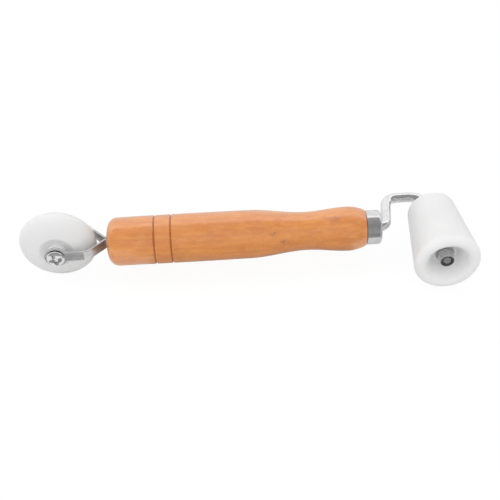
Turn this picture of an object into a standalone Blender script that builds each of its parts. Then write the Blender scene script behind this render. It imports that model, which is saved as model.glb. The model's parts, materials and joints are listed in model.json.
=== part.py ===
"""Double-ended seam roller: a turned beech grip with a lens-shaped plastic wheel held in a
steel fork at one end, and a tapered plastic roller on a cranked steel rod at the other.

Units are metres, +Z is up. X runs along the grip from the wheel to the tapered roller, and
both rollers turn about axes along Y. The world origin lies under the middle of the tool, on
the plane that the wheel's lowest point touches.

Inside the tool's own frame, x starts at the grip's fork end and y and z start at the grip's
axis. Turned pieces are drawn as (height, radius) points about their local Z axis.
"""

import math

import bmesh
import bpy
from mathutils import Matrix, Vector

MM = 0.001

# Clearances
GAP = 0.3 * MM  # between pieces that are fixed to each other
SIDE_PLAY = 0.25 * MM  # beside a washer, along an axle
RUNNING_PLAY = 0.15 * MM  # around an axle, in a roller's bore

# Grip: x positions are counted from its fork end
GRIP_LENGTH = 124.5 * MM
BARREL_MIDDLE = 37.6 * MM
BARREL_RADIUS = 11.86 * MM
BARREL_CROWN = 0.1 * MM  # how much the radius falls over the barrel's half length
BARREL_END = 67.6 * MM
WAIST_X = 96.1 * MM
WAIST_RADIUS = 9.31 * MM
BULGE_X = 116.1 * MM
BULGE_RADIUS = 10.78 * MM
NOSE_ROUND = 18.0 * MM  # the arc from the bulge down to the ferrule
BUTT_ROUND = 5.0 * MM  # the rounded edge at the fork end
GROOVES_X = (22.8 * MM, 30.8 * MM)
GROOVE_WIDTH = 1.1 * MM
GROOVE_DEPTH = 0.5 * MM
ROD_SOCKET_DEPTH = 45.0 * MM
FORK_SLOT_DEPTH = 18.5 * MM

# Ferrule: a drawn steel cap over the grip's spigot
FERRULE_RADIUS = 8.36 * MM
FERRULE_REACH = 7.5 * MM  # how far it stands out of the grip
FERRULE_WALL = 0.8 * MM
FERRULE_ROUND = 1.6 * MM

# Fork: two bent steel strips, one on each side of the wheel
WHEEL_X = -24.5 * MM
WHEEL_Y = 1.1 * MM  # the fork stands a little behind the grip's axis
FORK_HALF_GAP = 9.7 * MM  # from the wheel's middle plane to the middle of a strip
STRIP_WIDTH = 5.2 * MM
STRIP_THICKNESS = 1.2 * MM
EYE_RADIUS = 5.5 * MM
FORK_SHOULDER_ROUND = 5.0 * MM  # the bend where a strip turns in towards the grip
FORK_SPLAY = math.radians(46)  # the slope of the strip from there to its throat
FORK_THROAT_X = -1.6 * MM  # where it turns again, to run back into the grip
FORK_THROAT_ROUND = 2.5 * MM

# Convex wheel: an ellipse turned about its short axis, dished round its hub
WHEEL_RADIUS = 18.5 * MM
WHEEL_HALF_AXIS = 7.7 * MM
DISH_RIM_HEIGHT = 6.85 * MM
DISH_FLOOR_HEIGHT = 5.4 * MM
DISH_FLOOR_RADIUS = 5.6 * MM
HUB_RADIUS = 4.7 * MM
HUB_HALF_LENGTH = 8.2 * MM

# Wheel axle: an M4 pan-head screw through a spacer sleeve, with a locking nut behind
THREAD_RADIUS = 2.0 * MM
SLEEVE_RADIUS = 3.0 * MM
SCREW_LENGTH = 30.0 * MM
HEAD_RADIUS = 4.3 * MM
HEAD_HEIGHT = 2.4 * MM
HEAD_ROUND = 1.5 * MM
CROSS_LENGTH = 6.0 * MM
CROSS_WIDTH = 1.6 * MM
CROSS_DEPTH = 1.8 * MM

# M4 hardware
WASHER_RADIUS = 4.5 * MM
WASHER_THICKNESS = 0.8 * MM
THRUST_WASHER_THICKNESS = 0.4 * MM
NUT_ACROSS_FLATS = 7.0 * MM
NUT_HEX_HEIGHT = 3.3 * MM
NUT_HEIGHT = 5.0 * MM
NUT_CHAMFER = 0.5 * MM
NUT_COLLAR_RADIUS = 3.4 * MM
NYLON_RADIUS = 2.95 * MM
NYLON_HEIGHT = 1.2 * MM
HOLE_PLAY = 0.25 * MM  # around an M4 thread, in washers, nuts and eyes

# Cranked rod: its corners, seen from above, and how tightly each is bent
ROD_RADIUS = 2.5 * MM
CONE_X = 158.9 * MM
ROD_BACK_Y = 21.5 * MM
ROD_CORNERS = ((134.9 * MM, 0.0), (138.25 * MM, ROD_BACK_Y), (CONE_X, ROD_BACK_Y))
ROD_BENDS = (4.6 * MM, 6.3 * MM, 9.6 * MM)
STOP_COLLAR_RADIUS = 4.2 * MM
STOP_COLLAR_WIDTH = 0.9 * MM

# Tapered roller: its large end faces -Y
CONE_BACK_Y = 10.7 * MM
CONE_FRONT_Y = -29.5 * MM
CONE_BACK_RADIUS = 11.55 * MM
CONE_FRONT_RADIUS = 15.75 * MM
CONE_BACK_ROUND = 2.0 * MM
CONE_FRONT_ROUND = 2.8 * MM
FLARE_RADIUS = 11.1 * MM  # from here the end face slopes back to the recess
FLARE_ROUND = 3.0 * MM
RECESS_LIP_RADIUS = 9.2 * MM
RECESS_LIP_Y = -27.2 * MM
RECESS_LIP_ROUND = 2.0 * MM
RECESS_FLOOR_RADIUS = 5.8 * MM
RECESS_FLOOR_Y = -21.1 * MM

# Cutters
OVERSHOOT = 1.0 * MM  # how far a cutter reaches past the face that it opens
SLIVER = 0.01 * MM  # keeps a cutter's face off the face that it trims

# Fineness of the round shapes
BIG_ROUND = 40
SMALL_ROUND = 24
ARC_STEP = math.radians(15)
SHARP_ANGLE = math.radians(32)
MERGE = 0.00001

PIECES = "seam_roller"
CUTTERS = "seam_roller_cutters"


# ---------------------------------------------------------------- scene and materials


def clear_scene():
    for obj in list(bpy.data.objects):
        bpy.data.objects.remove(obj)


def new_collection(name):
    collection = bpy.data.collections.new(name)
    bpy.context.scene.collection.children.link(collection)
    return collection


def finish(name, colour, roughness, metallic=0.0):
    """A plain Principled material."""
    material = bpy.data.materials.new(name)
    material.use_nodes = True
    shader = material.node_tree.nodes["Principled BSDF"]
    shader.inputs["Base Color"].default_value = (*colour, 1.0)
    shader.inputs["Roughness"].default_value = roughness
    shader.inputs["Metallic"].default_value = metallic
    material.diffuse_color = (*colour, 1.0)
    return material


def wood(name):
    return finish(name, (0.66, 0.30, 0.11), 0.35)


def white_plastic(name):
    return finish(name, (0.86, 0.86, 0.85), 0.45)


def bright_steel(name):
    return finish(name, (0.72, 0.72, 0.73), 0.16, 1.0)


def strip_steel(name):
    return finish(name, (0.55, 0.56, 0.57), 0.28, 1.0)


def dark_nylon(name):
    return finish(name, (0.08, 0.08, 0.09), 0.5)


# ---------------------------------------------------------------- drawing helpers


def rounded(corners, radii):
    """The path through corners, with each corner turned as an arc of its own radius."""
    points = []
    count = len(corners)
    for i, (corner, radius) in enumerate(zip(corners, radii)):
        corner = Vector(corner)
        if radius == 0:
            points.append(corner)
            continue
        back = (Vector(corners[i - 1]) - corner).normalized()
        ahead = (Vector(corners[(i + 1) % count]) - corner).normalized()
        half = math.acos(max(-1.0, min(1.0, back.dot(ahead)))) / 2
        centre = corner + (back + ahead).normalized() * (radius / math.sin(half))
        spoke = corner + back * (radius / math.tan(half)) - centre
        turn = math.pi - 2 * half
        if back.y * ahead.x - back.x * ahead.y < 0:
            turn = -turn
        steps = max(2, math.ceil(abs(turn) / ARC_STEP))
        for step in range(steps + 1):
            points.append(centre + Matrix.Rotation(turn * step / steps, 2) @ spoke)
    return points


def stations(start, end, count):
    """Evenly spaced values from start to end, both included."""
    return [start + (end - start) * i / (count - 1) for i in range(count)]


def ease(start, end, share):
    """A value that leaves start and reaches end with no slope."""
    return start + (end - start) * (1 - math.cos(math.pi * share)) / 2


def add_object(name, mesh, collection, parent, place=(0, 0, 0), pointing=(0, 0, 1)):
    """An object whose local Z axis points the given way in its parent's frame."""
    obj = bpy.data.objects.new(name, mesh)
    collection.objects.link(obj)
    obj.parent = parent
    obj.location = place
    obj.rotation_euler = Vector((0, 0, 1)).rotation_difference(Vector(pointing)).to_euler()
    return obj


def add_empty(name, parent, place):
    empty = add_object(name, None, pieces, parent, place)
    empty.empty_display_size = 10 * MM
    return empty


def turned(name, profile, collection, parent, place=(0, 0, 0), pointing=(0, 0, 1), around=SMALL_ROUND):
    """A solid of revolution. The profile runs down the outer side, from top to bottom; where
    it doesn't start on the axis, it is a closed ring section."""
    mesh = bpy.data.meshes.new(name)
    points = [(radius, 0, height) for height, radius in profile]
    edges = [(i, i + 1) for i in range(len(points) - 1)]
    if profile[0][1] > 0:
        edges.append((len(points) - 1, 0))
    mesh.from_pydata(points, edges, [])
    obj = add_object(name, mesh, collection, parent, place, pointing)
    screw = obj.modifiers.new("Turn", "SCREW")
    screw.axis = "Z"
    screw.angle = 2 * math.pi
    screw.steps = around
    screw.render_steps = around
    screw.use_merge_vertices = True
    screw.merge_threshold = MERGE
    return obj


def ring(name, inner, outer, bottom, top, collection, parent, **where):
    """A plain washer or sleeve."""
    profile = [(top, inner), (top, outer), (bottom, outer), (bottom, inner)]
    return turned(name, profile, collection, parent, **where)


def rod_solid(name, radius, bottom, top, collection, parent, **where):
    """A plain round bar."""
    profile = [(top, 0), (top, radius), (bottom, radius), (bottom, 0)]
    return turned(name, profile, collection, parent, **where)


def block(name, size, collection, parent, place):
    """A box of the given size about its place."""
    mesh = bpy.data.meshes.new(name)
    shape = bmesh.new()
    bmesh.ops.create_cube(shape, size=1.0, matrix=Matrix.Diagonal((*size, 1.0)))
    shape.to_mesh(mesh)
    shape.free()
    return add_object(name, mesh, collection, parent, place)


def combine(obj, operation, other):
    """Cuts or joins with a helper, which then isn't shown."""
    other.hide_render = True
    other.display_type = "WIRE"
    boolean = obj.modifiers.new(other.name, "BOOLEAN")
    boolean.operation = operation
    boolean.object = other


def bake(obj, material):
    """Replaces the modifiers with their result, shaded smooth except at real corners."""
    bpy.context.view_layer.update()
    graph = bpy.context.evaluated_depsgraph_get()
    mesh = bpy.data.meshes.new_from_object(obj.evaluated_get(graph))
    mesh.name = obj.name
    mesh.materials.clear()
    mesh.materials.append(material)
    mesh.shade_smooth()
    mesh.set_sharp_from_angle(angle=SHARP_ANGLE)
    obj.modifiers.clear()
    obj.data = mesh
    return obj


def swept(name, path, parent, **shape):
    """A mesh made from a polyline curve, with loose caps welded on."""
    curve = bpy.data.curves.new(name, "CURVE")
    for setting, value in shape.items():
        setattr(curve, setting, value)
    line = curve.splines.new("POLY")
    line.points.add(len(path) - 1)
    for point, (x, y) in zip(line.points, path):
        point.co = (x, y, 0, 1)
    guide = add_object(name + "_guide", curve, cutters, parent)
    bpy.context.view_layer.update()
    graph = bpy.context.evaluated_depsgraph_get()
    mesh = bpy.data.meshes.new_from_object(guide.evaluated_get(graph))
    bpy.data.objects.remove(guide)
    weld = bmesh.new()
    weld.from_mesh(mesh)
    bmesh.ops.remove_doubles(weld, verts=weld.verts, dist=MERGE)
    weld.to_mesh(mesh)
    weld.free()
    return add_object(name, mesh, pieces, parent)


# ---------------------------------------------------------------- profiles

ALONG_GRIP = (1, 0, 0)
TO_FRONT = (0, -1, 0)  # heights on both axles are counted this way


def grip_radius(x):
    """Radius of the grip at x: barrel, waist, bulge and nose."""
    if x < BARREL_END:
        return BARREL_RADIUS - BARREL_CROWN * ((x - BARREL_MIDDLE) / (BARREL_END - BARREL_MIDDLE)) ** 2
    if x < WAIST_X:
        share = (x - BARREL_END) / (WAIST_X - BARREL_END)
        return ease(BARREL_RADIUS - BARREL_CROWN, WAIST_RADIUS, share)
    if x < BULGE_X:
        return ease(WAIST_RADIUS, BULGE_RADIUS, (x - WAIST_X) / (BULGE_X - WAIST_X))
    return BULGE_RADIUS - NOSE_ROUND + math.sqrt(NOSE_ROUND**2 - (x - BULGE_X) ** 2)


def grip_profile():
    """Up the rod's socket, over the spigot, and down the outside to the fork end."""
    socket_radius = ROD_RADIUS + GAP
    spigot_top = GRIP_LENGTH + FERRULE_REACH - FERRULE_WALL - GAP
    spigot_radius = FERRULE_RADIUS - FERRULE_WALL - GAP
    profile = [
        (GRIP_LENGTH - ROD_SOCKET_DEPTH, 0),
        (GRIP_LENGTH - ROD_SOCKET_DEPTH, socket_radius),
        (spigot_top, socket_radius),
        (spigot_top, spigot_radius),
        (GRIP_LENGTH, spigot_radius),
    ]
    outline = stations(GRIP_LENGTH, BULGE_X, 5)
    outline += stations(BULGE_X, WAIST_X, 7)[1:]
    outline += stations(WAIST_X, BARREL_END, 9)[1:]
    outline += [BARREL_END / 2 + GROOVES_X[1] / 2]
    profile += [(x, grip_radius(x)) for x in outline]
    for groove in reversed(GROOVES_X):
        for offset, depth in ((GROOVE_WIDTH / 2, 0), (0, GROOVE_DEPTH), (-GROOVE_WIDTH / 2, 0)):
            profile.append((groove + offset, grip_radius(groove + offset) - depth))
    butt_radius = grip_radius(BUTT_ROUND)
    corners = [(GROOVES_X[0], butt_radius), (0, butt_radius), (0, 0)]
    profile += rounded(corners, (0, BUTT_ROUND, 0))[1:]
    return profile


def wheel_profile():
    """A ring section: hub, dish, elliptical tread, dish and hub, from front to back."""
    rim = math.asin(DISH_RIM_HEIGHT / WHEEL_HALF_AXIS)
    tread = [
        (WHEEL_HALF_AXIS * math.sin(angle), WHEEL_RADIUS * math.cos(angle))
        for angle in stations(rim, -rim, 17)
    ]
    bore = SLEEVE_RADIUS + RUNNING_PLAY
    half = [(HUB_HALF_LENGTH, bore), (HUB_HALF_LENGTH, HUB_RADIUS), (DISH_FLOOR_HEIGHT, HUB_RADIUS)]
    half += [(DISH_FLOOR_HEIGHT, DISH_FLOOR_RADIUS)]
    return half + tread + [(-height, radius) for height, radius in reversed(half)]


def cone_profile():
    """A ring section: recess floor, funnel, flare, front ring, tapered side and back face."""
    bore = ROD_RADIUS + RUNNING_PLAY
    corners = [
        (-RECESS_FLOOR_Y, bore),
        (-RECESS_FLOOR_Y, RECESS_FLOOR_RADIUS),
        (-RECESS_LIP_Y, RECESS_LIP_RADIUS),
        (-CONE_FRONT_Y, FLARE_RADIUS),
        (-CONE_FRONT_Y, CONE_FRONT_RADIUS),
        (-CONE_BACK_Y, CONE_BACK_RADIUS),
        (-CONE_BACK_Y, bore),
    ]
    radii = (0, 0, RECESS_LIP_ROUND, FLARE_ROUND, CONE_FRONT_ROUND, CONE_BACK_ROUND, 0)
    return rounded(corners, radii)


def tool_origin():
    """Where the tool's own frame lies, so that the world origin is under the tool's middle."""
    cone_reach = max(radius for _, radius in cone_profile())
    middle_x = (WHEEL_X - WHEEL_RADIUS + CONE_X + cone_reach) / 2
    middle_y = (CONE_FRONT_Y + ROD_BACK_Y + ROD_RADIUS) / 2
    return (-middle_x, -middle_y, WHEEL_RADIUS)


# ---------------------------------------------------------------- the pieces


def make_grip():
    grip = turned("handle", grip_profile(), pieces, tool, pointing=ALONG_GRIP, around=BIG_ROUND)
    slot_width = 2 * (STRIP_THICKNESS + GAP) + GAP
    slot_height = STRIP_WIDTH + 2 * GAP
    size = (FORK_SLOT_DEPTH + OVERSHOOT, slot_width, slot_height)
    slot = block("fork_slot", size, cutters, tool, ((FORK_SLOT_DEPTH - OVERSHOOT) / 2, 0, 0))
    combine(grip, "DIFFERENCE", slot)
    bake(grip, wood("handle_beech"))


def make_ferrule():
    top = GRIP_LENGTH + FERRULE_REACH
    bottom = GRIP_LENGTH + GAP
    inner = FERRULE_RADIUS - FERRULE_WALL
    hole = ROD_RADIUS + GAP
    corners = [
        (top, hole),
        (top, FERRULE_RADIUS),
        (bottom, FERRULE_RADIUS),
        (bottom, inner),
        (top - FERRULE_WALL, inner),
        (top - FERRULE_WALL, hole),
    ]
    profile = rounded(corners, (0, FERRULE_ROUND, 0, 0, 0, 0))
    ferrule = turned("ferrule", profile, pieces, tool, pointing=ALONG_GRIP, around=BIG_ROUND)
    bake(ferrule, bright_steel("ferrule_steel"))


def make_fork_arm(name, side):
    """One strip with its eye; side is -1 for the front one and +1 for the rear one."""
    tang_y = (STRIP_THICKNESS + GAP) / 2
    tang_end = FORK_SLOT_DEPTH - GAP
    strip_y = WHEEL_Y + side * FORK_HALF_GAP
    shoulder_x = FORK_THROAT_X - (abs(strip_y) - tang_y) / math.tan(FORK_SPLAY)
    corners = [
        (WHEEL_X, strip_y),
        (shoulder_x, strip_y),
        (FORK_THROAT_X, side * tang_y),
        (tang_end, side * tang_y),
    ]
    path = rounded(corners, (0, FORK_SHOULDER_ROUND, FORK_THROAT_ROUND, 0))
    arm = swept(name, path, tool, dimensions="2D", fill_mode="NONE", extrude=STRIP_WIDTH / 2)
    thicken = arm.modifiers.new("Thickness", "SOLIDIFY")
    thicken.thickness = STRIP_THICKNESS
    thicken.offset = 0
    thicken.use_even_offset = True
    eye_place = (WHEEL_X, strip_y, 0)
    half = STRIP_THICKNESS / 2
    eye = rod_solid(
        name + "_eye", EYE_RADIUS, -half, half, cutters, tool,
        place=eye_place, pointing=TO_FRONT, around=SMALL_ROUND,
    )
    hole = rod_solid(
        name + "_hole", THREAD_RADIUS + HOLE_PLAY, -2 * half, 2 * half, cutters, tool,
        place=eye_place, pointing=TO_FRONT, around=SMALL_ROUND,
    )
    combine(arm, "UNION", eye)
    combine(arm, "DIFFERENCE", hole)
    bake(arm, strip_steel(name + "_steel"))


def make_wheel():
    wheel = turned("convex_wheel", wheel_profile(), pieces, wheel_axle, pointing=TO_FRONT, around=BIG_ROUND)
    bake(wheel, white_plastic("convex_wheel_plastic"))


def make_wheel_axle():
    """The screw and what it clamps. The sleeve spans the fork, so that the wheel stays free."""
    inside = FORK_HALF_GAP - STRIP_THICKNESS / 2
    outside = FORK_HALF_GAP + STRIP_THICKNESS / 2
    hole = THREAD_RADIUS + HOLE_PLAY
    place = {"pointing": TO_FRONT}

    reach = inside - GAP
    sleeve = ring("wheel_axle_sleeve", hole, SLEEVE_RADIUS, -reach, reach, pieces, wheel_axle, **place)
    bake(sleeve, bright_steel("wheel_axle_sleeve_steel"))

    bottom = HUB_HALF_LENGTH + SIDE_PLAY
    top = bottom + THRUST_WASHER_THICKNESS
    inner = SLEEVE_RADIUS + RUNNING_PLAY
    for name, low, high in (
        ("wheel_thrust_washer_front", bottom, top),
        ("wheel_thrust_washer_rear", -top, -bottom),
    ):
        washer = ring(name, inner, WASHER_RADIUS, low, high, pieces, wheel_axle, **place)
        bake(washer, bright_steel(name + "_steel"))

    seat = outside + GAP
    corners = [
        (seat + HEAD_HEIGHT, 0),
        (seat + HEAD_HEIGHT, HEAD_RADIUS),
        (seat, HEAD_RADIUS),
        (seat, THREAD_RADIUS),
        (seat - SCREW_LENGTH, THREAD_RADIUS),
        (seat - SCREW_LENGTH, 0),
    ]
    profile = rounded(corners, (0, HEAD_ROUND, 0, 0, 0, 0))
    screw = turned("wheel_axle_screw", profile, pieces, wheel_axle, pointing=TO_FRONT, around=SMALL_ROUND)
    for number, size in enumerate(((CROSS_LENGTH, CROSS_WIDTH), (CROSS_WIDTH, CROSS_LENGTH))):
        slot = block(
            f"screw_cross_{number}",
            (size[0], 2 * CROSS_DEPTH, size[1]),
            cutters,
            wheel_axle,
            (0, -seat - HEAD_HEIGHT, 0),
        )
        combine(screw, "DIFFERENCE", slot)
    bake(screw, bright_steel("wheel_axle_screw_steel"))

    washer_top = -seat
    washer_bottom = washer_top - WASHER_THICKNESS
    washer = ring(
        "wheel_nut_washer", hole, WASHER_RADIUS, washer_bottom, washer_top, pieces, wheel_axle, **place
    )
    bake(washer, bright_steel("wheel_nut_washer_steel"))
    nut_place = (0, -(washer_bottom - SIDE_PLAY), 0)
    make_lock_nut("wheel_lock_nut", "wheel_nut_nylon_ring", wheel_axle, nut_place, (0, 1, 0))


def make_lock_nut(nut_name, ring_name, parent, place, pointing):
    """A hexagon nut with a round collar that holds a nylon ring. Its base is at its place."""
    where = {"place": place, "pointing": pointing}
    corner_radius = NUT_ACROSS_FLATS / 2 / math.cos(math.pi / 6)
    mesh = bpy.data.meshes.new(nut_name)
    shape = bmesh.new()
    bmesh.ops.create_cone(
        shape,
        cap_ends=True,
        segments=6,
        radius1=corner_radius,
        radius2=corner_radius,
        depth=NUT_HEX_HEIGHT,
        matrix=Matrix.Translation((0, 0, NUT_HEX_HEIGHT / 2)),
    )
    shape.to_mesh(mesh)
    shape.free()
    nut = add_object(nut_name, mesh, pieces, parent, place, pointing)

    blank_top = NUT_HEX_HEIGHT + SLIVER
    blank_radius = corner_radius + 10 * SLIVER
    flat_radius = NUT_ACROSS_FLATS / 2
    blank = [
        (blank_top, 0),
        (blank_top, flat_radius),
        (blank_top - NUT_CHAMFER, blank_radius),
        (NUT_CHAMFER - SLIVER, blank_radius),
        (-SLIVER, flat_radius),
        (-SLIVER, 0),
    ]
    combine(nut, "INTERSECT", turned(nut_name + "_chamfer", blank, cutters, parent, **where))
    collar = rod_solid(
        nut_name + "_collar", NUT_COLLAR_RADIUS, NUT_HEX_HEIGHT / 2, NUT_HEIGHT, cutters, parent, **where
    )
    combine(nut, "UNION", collar)

    thread = THREAD_RADIUS + HOLE_PLAY
    seat = NYLON_RADIUS + HOLE_PLAY / 2
    floor = NUT_HEIGHT - NYLON_HEIGHT - SIDE_PLAY
    opening = [
        (NUT_HEIGHT + OVERSHOOT, 0),
        (NUT_HEIGHT + OVERSHOOT, seat),
        (floor, seat),
        (floor, thread),
        (-OVERSHOOT, thread),
        (-OVERSHOOT, 0),
    ]
    combine(nut, "DIFFERENCE", turned(nut_name + "_opening", opening, cutters, parent, **where))
    bake(nut, bright_steel(nut_name + "_steel"))

    bottom = floor + SIDE_PLAY
    top = bottom + NYLON_HEIGHT - SIDE_PLAY / 2
    nylon = ring(ring_name, thread, NYLON_RADIUS, bottom, top, pieces, parent, **where)
    bake(nylon, dark_nylon(ring_name + "_nylon"))


def make_rod():
    """The cranked rod: tang, bends, stop collar and straight axle with its threaded end."""
    tang = (GRIP_LENGTH - ROD_SOCKET_DEPTH + GAP, 0.0)
    shoulder = RECESS_FLOOR_Y - SIDE_PLAY
    corners = [tang, *ROD_CORNERS, (CONE_X, shoulder)]
    path = rounded(corners, (0, *ROD_BENDS, 0))
    rod = swept(
        "roller_rod", path, tool,
        dimensions="3D", twist_mode="Z_UP", bevel_depth=ROD_RADIUS, bevel_resolution=8, use_fill_caps=True,
    )
    washer_front = shoulder - SIDE_PLAY - WASHER_THICKNESS
    stud_end = washer_front - NUT_HEIGHT - SIDE_PLAY / 2
    stud = rod_solid(
        "rod_thread", THREAD_RADIUS, 0, -stud_end, cutters, cone_axle, pointing=TO_FRONT,
    )
    collar_front = CONE_BACK_Y + 2 * SIDE_PLAY + THRUST_WASHER_THICKNESS
    collar = rod_solid(
        "rod_stop_collar", STOP_COLLAR_RADIUS, -collar_front - STOP_COLLAR_WIDTH, -collar_front,
        cutters, cone_axle, pointing=TO_FRONT,
    )
    combine(rod, "UNION", stud)
    combine(rod, "UNION", collar)
    bake(rod, bright_steel("roller_rod_steel"))


def make_cone():
    cone = turned("cone_roller", cone_profile(), pieces, cone_axle, pointing=TO_FRONT, around=BIG_ROUND)
    bake(cone, white_plastic("cone_roller_plastic"))


def make_cone_hardware():
    place = {"pointing": TO_FRONT}
    top = -CONE_BACK_Y - SIDE_PLAY
    bottom = top - THRUST_WASHER_THICKNESS
    inner = ROD_RADIUS + RUNNING_PLAY
    thrust = ring("cone_thrust_washer", inner, WASHER_RADIUS, bottom, top, pieces, cone_axle, **place)
    bake(thrust, bright_steel("cone_thrust_washer_steel"))

    bottom = -RECESS_FLOOR_Y + 2 * SIDE_PLAY
    top = bottom + WASHER_THICKNESS
    hole = THREAD_RADIUS + HOLE_PLAY
    washer = ring("cone_nut_washer", hole, WASHER_RADIUS, bottom, top, pieces, cone_axle, **place)
    bake(washer, bright_steel("cone_nut_washer_steel"))
    nut_place = (0, -(top + SIDE_PLAY), 0)
    make_lock_nut("cone_lock_nut", "cone_nut_nylon_ring", cone_axle, nut_place, TO_FRONT)


clear_scene()
pieces = new_collection(PIECES)
cutters = new_collection(CUTTERS)
cutters.hide_render = True
tool = add_empty("tool_frame", None, tool_origin())
wheel_axle = add_empty("wheel_axle_frame", tool, (WHEEL_X, WHEEL_Y, 0))
cone_axle = add_empty("cone_axle_frame", tool, (CONE_X, 0, 0))

make_grip()
make_ferrule()
make_fork_arm("fork_arm_front", -1)
make_fork_arm("fork_arm_rear", 1)
make_wheel()
make_wheel_axle()
make_rod()
make_cone()
make_cone_hardware()
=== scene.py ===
"""Looks of a double-ended seam roller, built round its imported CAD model.

Every CAD node is stood for by a fine mesh with its own procedural material. Lengths are in
metres, written with MM. Positions come from the frame: the nodes' boxes and the joints.
Turned pieces are drawn as (height, radius) points along their own axis, and every mesh
carries an "own" attribute, its coordinates in millimetres before it was bent or placed,
which the materials are patterned by.
"""

import functools
import json
import math

import bmesh
import bpy
from mathutils import Matrix, Vector


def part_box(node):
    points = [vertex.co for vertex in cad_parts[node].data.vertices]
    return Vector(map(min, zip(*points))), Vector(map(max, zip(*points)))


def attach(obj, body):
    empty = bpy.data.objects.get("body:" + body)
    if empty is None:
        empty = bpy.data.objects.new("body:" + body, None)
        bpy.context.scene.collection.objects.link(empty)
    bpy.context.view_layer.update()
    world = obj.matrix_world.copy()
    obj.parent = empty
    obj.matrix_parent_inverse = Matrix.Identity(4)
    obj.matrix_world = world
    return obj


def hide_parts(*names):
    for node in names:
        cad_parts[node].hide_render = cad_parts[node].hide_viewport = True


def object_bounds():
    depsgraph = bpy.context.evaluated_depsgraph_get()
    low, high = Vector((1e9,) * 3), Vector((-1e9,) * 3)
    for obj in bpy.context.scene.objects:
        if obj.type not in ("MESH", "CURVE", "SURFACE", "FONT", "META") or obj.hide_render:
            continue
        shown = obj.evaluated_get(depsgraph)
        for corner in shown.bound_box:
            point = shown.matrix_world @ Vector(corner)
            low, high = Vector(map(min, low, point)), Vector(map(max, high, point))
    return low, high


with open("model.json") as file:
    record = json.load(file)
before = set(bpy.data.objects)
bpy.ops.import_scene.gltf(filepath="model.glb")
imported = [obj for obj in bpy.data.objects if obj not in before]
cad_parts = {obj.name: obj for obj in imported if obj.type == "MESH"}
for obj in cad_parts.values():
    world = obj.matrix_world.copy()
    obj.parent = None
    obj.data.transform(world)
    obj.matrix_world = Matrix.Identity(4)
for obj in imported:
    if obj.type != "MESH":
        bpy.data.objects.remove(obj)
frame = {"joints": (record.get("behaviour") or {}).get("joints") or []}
cad_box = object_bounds()

MM = 0.001

# ---------------------------------------------------------------- places, read from the frame

TO_FRONT = Vector((0, -1, 0))
TO_REAR = Vector((0, 1, 0))
ALONG_GRIP = Vector((1, 0, 0))
UP = Vector((0, 0, 1))

joint_places = {joint["name"]: Vector(joint["pos_m"]) for joint in frame["joints"]}
WHEEL_AXLE = joint_places["wheel_spin"]
CONE_AXLE = joint_places["cone_spin"]


def low(node):
    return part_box(node)[0]


def high(node):
    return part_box(node)[1]


def span(node, axle):
    """Rearmost and foremost place of a node along an axle, counted towards the front."""
    return axle.y - high(node).y, axle.y - low(node).y


def tall_radius(node):
    """Radius of a round node whose axis is level, from its height."""
    return (high(node).z - low(node).z) / 2


ROD_RADIUS = 2.5 * MM

# Grip: x is counted from its fork end, and y and z from its axis
handle_middle = (low("handle") + high("handle")) / 2
GRIP_START = Vector((low("handle").x, handle_middle.y, handle_middle.z))
GRIP_LENGTH = 124.5 * MM
SPIGOT_END = high("handle").x - GRIP_START.x
BARREL_RADIUS = tall_radius("handle")
BARREL_MIDDLE = 37.6 * MM
BARREL_CROWN = 0.1 * MM
BARREL_END = 67.6 * MM
WAIST_X = 96.1 * MM
WAIST_RADIUS = 9.31 * MM
BULGE_X = 116.1 * MM
BULGE_RADIUS = 10.78 * MM
NOSE_ROUND = 18.0 * MM
NOSE_EDGE_ROUND = 0.45 * MM
BUTT_ROUND = 5.0 * MM
GROOVES_X = (22.8 * MM, 30.8 * MM)
GROOVE_HALF_WIDTH = 0.62 * MM
GROOVE_DEPTH = 0.55 * MM
GROOVE_LIP_ROUND = 0.25 * MM
GROOVE_ROOT_ROUND = 0.12 * MM
SOCKET_DEPTH = 45.0 * MM
GROOVE_CLEAR = 1.5 * MM  # left out each side of a groove, where its own outline goes
NOSE_CLEAR = 1.5 * MM  # from the grip's end to where its rounded edge is over
PROFILE_STEP = 1.0 * MM
NOSE_STATIONS = 90
BARREL_STATIONS = 40
TURNING_WAVE = 0.02 * MM  # how unevenly the grip is turned and sanded
TURNING_WAVES = ((210, 2, 0.0), (95, -1, 1.3))  # radians a metre, turns round it, and start

# Ferrule
FERRULE_RADIUS = tall_radius("ferrule")
FERRULE_END = high("ferrule").x - GRIP_START.x
FERRULE_START = GRIP_LENGTH + 0.12 * MM
FERRULE_WALL = 0.8 * MM
FERRULE_ROUND = 1.6 * MM
FERRULE_RIM_ROUND = 0.5 * MM
FERRULE_HOLE = ROD_RADIUS + 0.1 * MM

# Fork
STRIP_THICKNESS = 1.2 * MM
STRIP_HALF_WIDTH = 2.6 * MM
STRIP_EDGE = 0.22 * MM
EYE_RADIUS = tall_radius("fork_arm_front")
EYE_FILLET = 2.2 * MM
FORK_HALF_GAP = span("fork_arm_front", WHEEL_AXLE)[1] - STRIP_THICKNESS / 2
WHEEL_X = WHEEL_AXLE.x - GRIP_START.x
WHEEL_Y = WHEEL_AXLE.y - GRIP_START.y
FORK_SHOULDER_ROUND = 5.0 * MM
FORK_SPLAY = math.radians(46)
FORK_THROAT_X = -1.6 * MM
FORK_THROAT_ROUND = 2.5 * MM
TANG_Y = 0.75 * MM
TANG_END = high("fork_arm_front").x - GRIP_START.x
SLOT_CLEARANCE = 0.12 * MM

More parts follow.
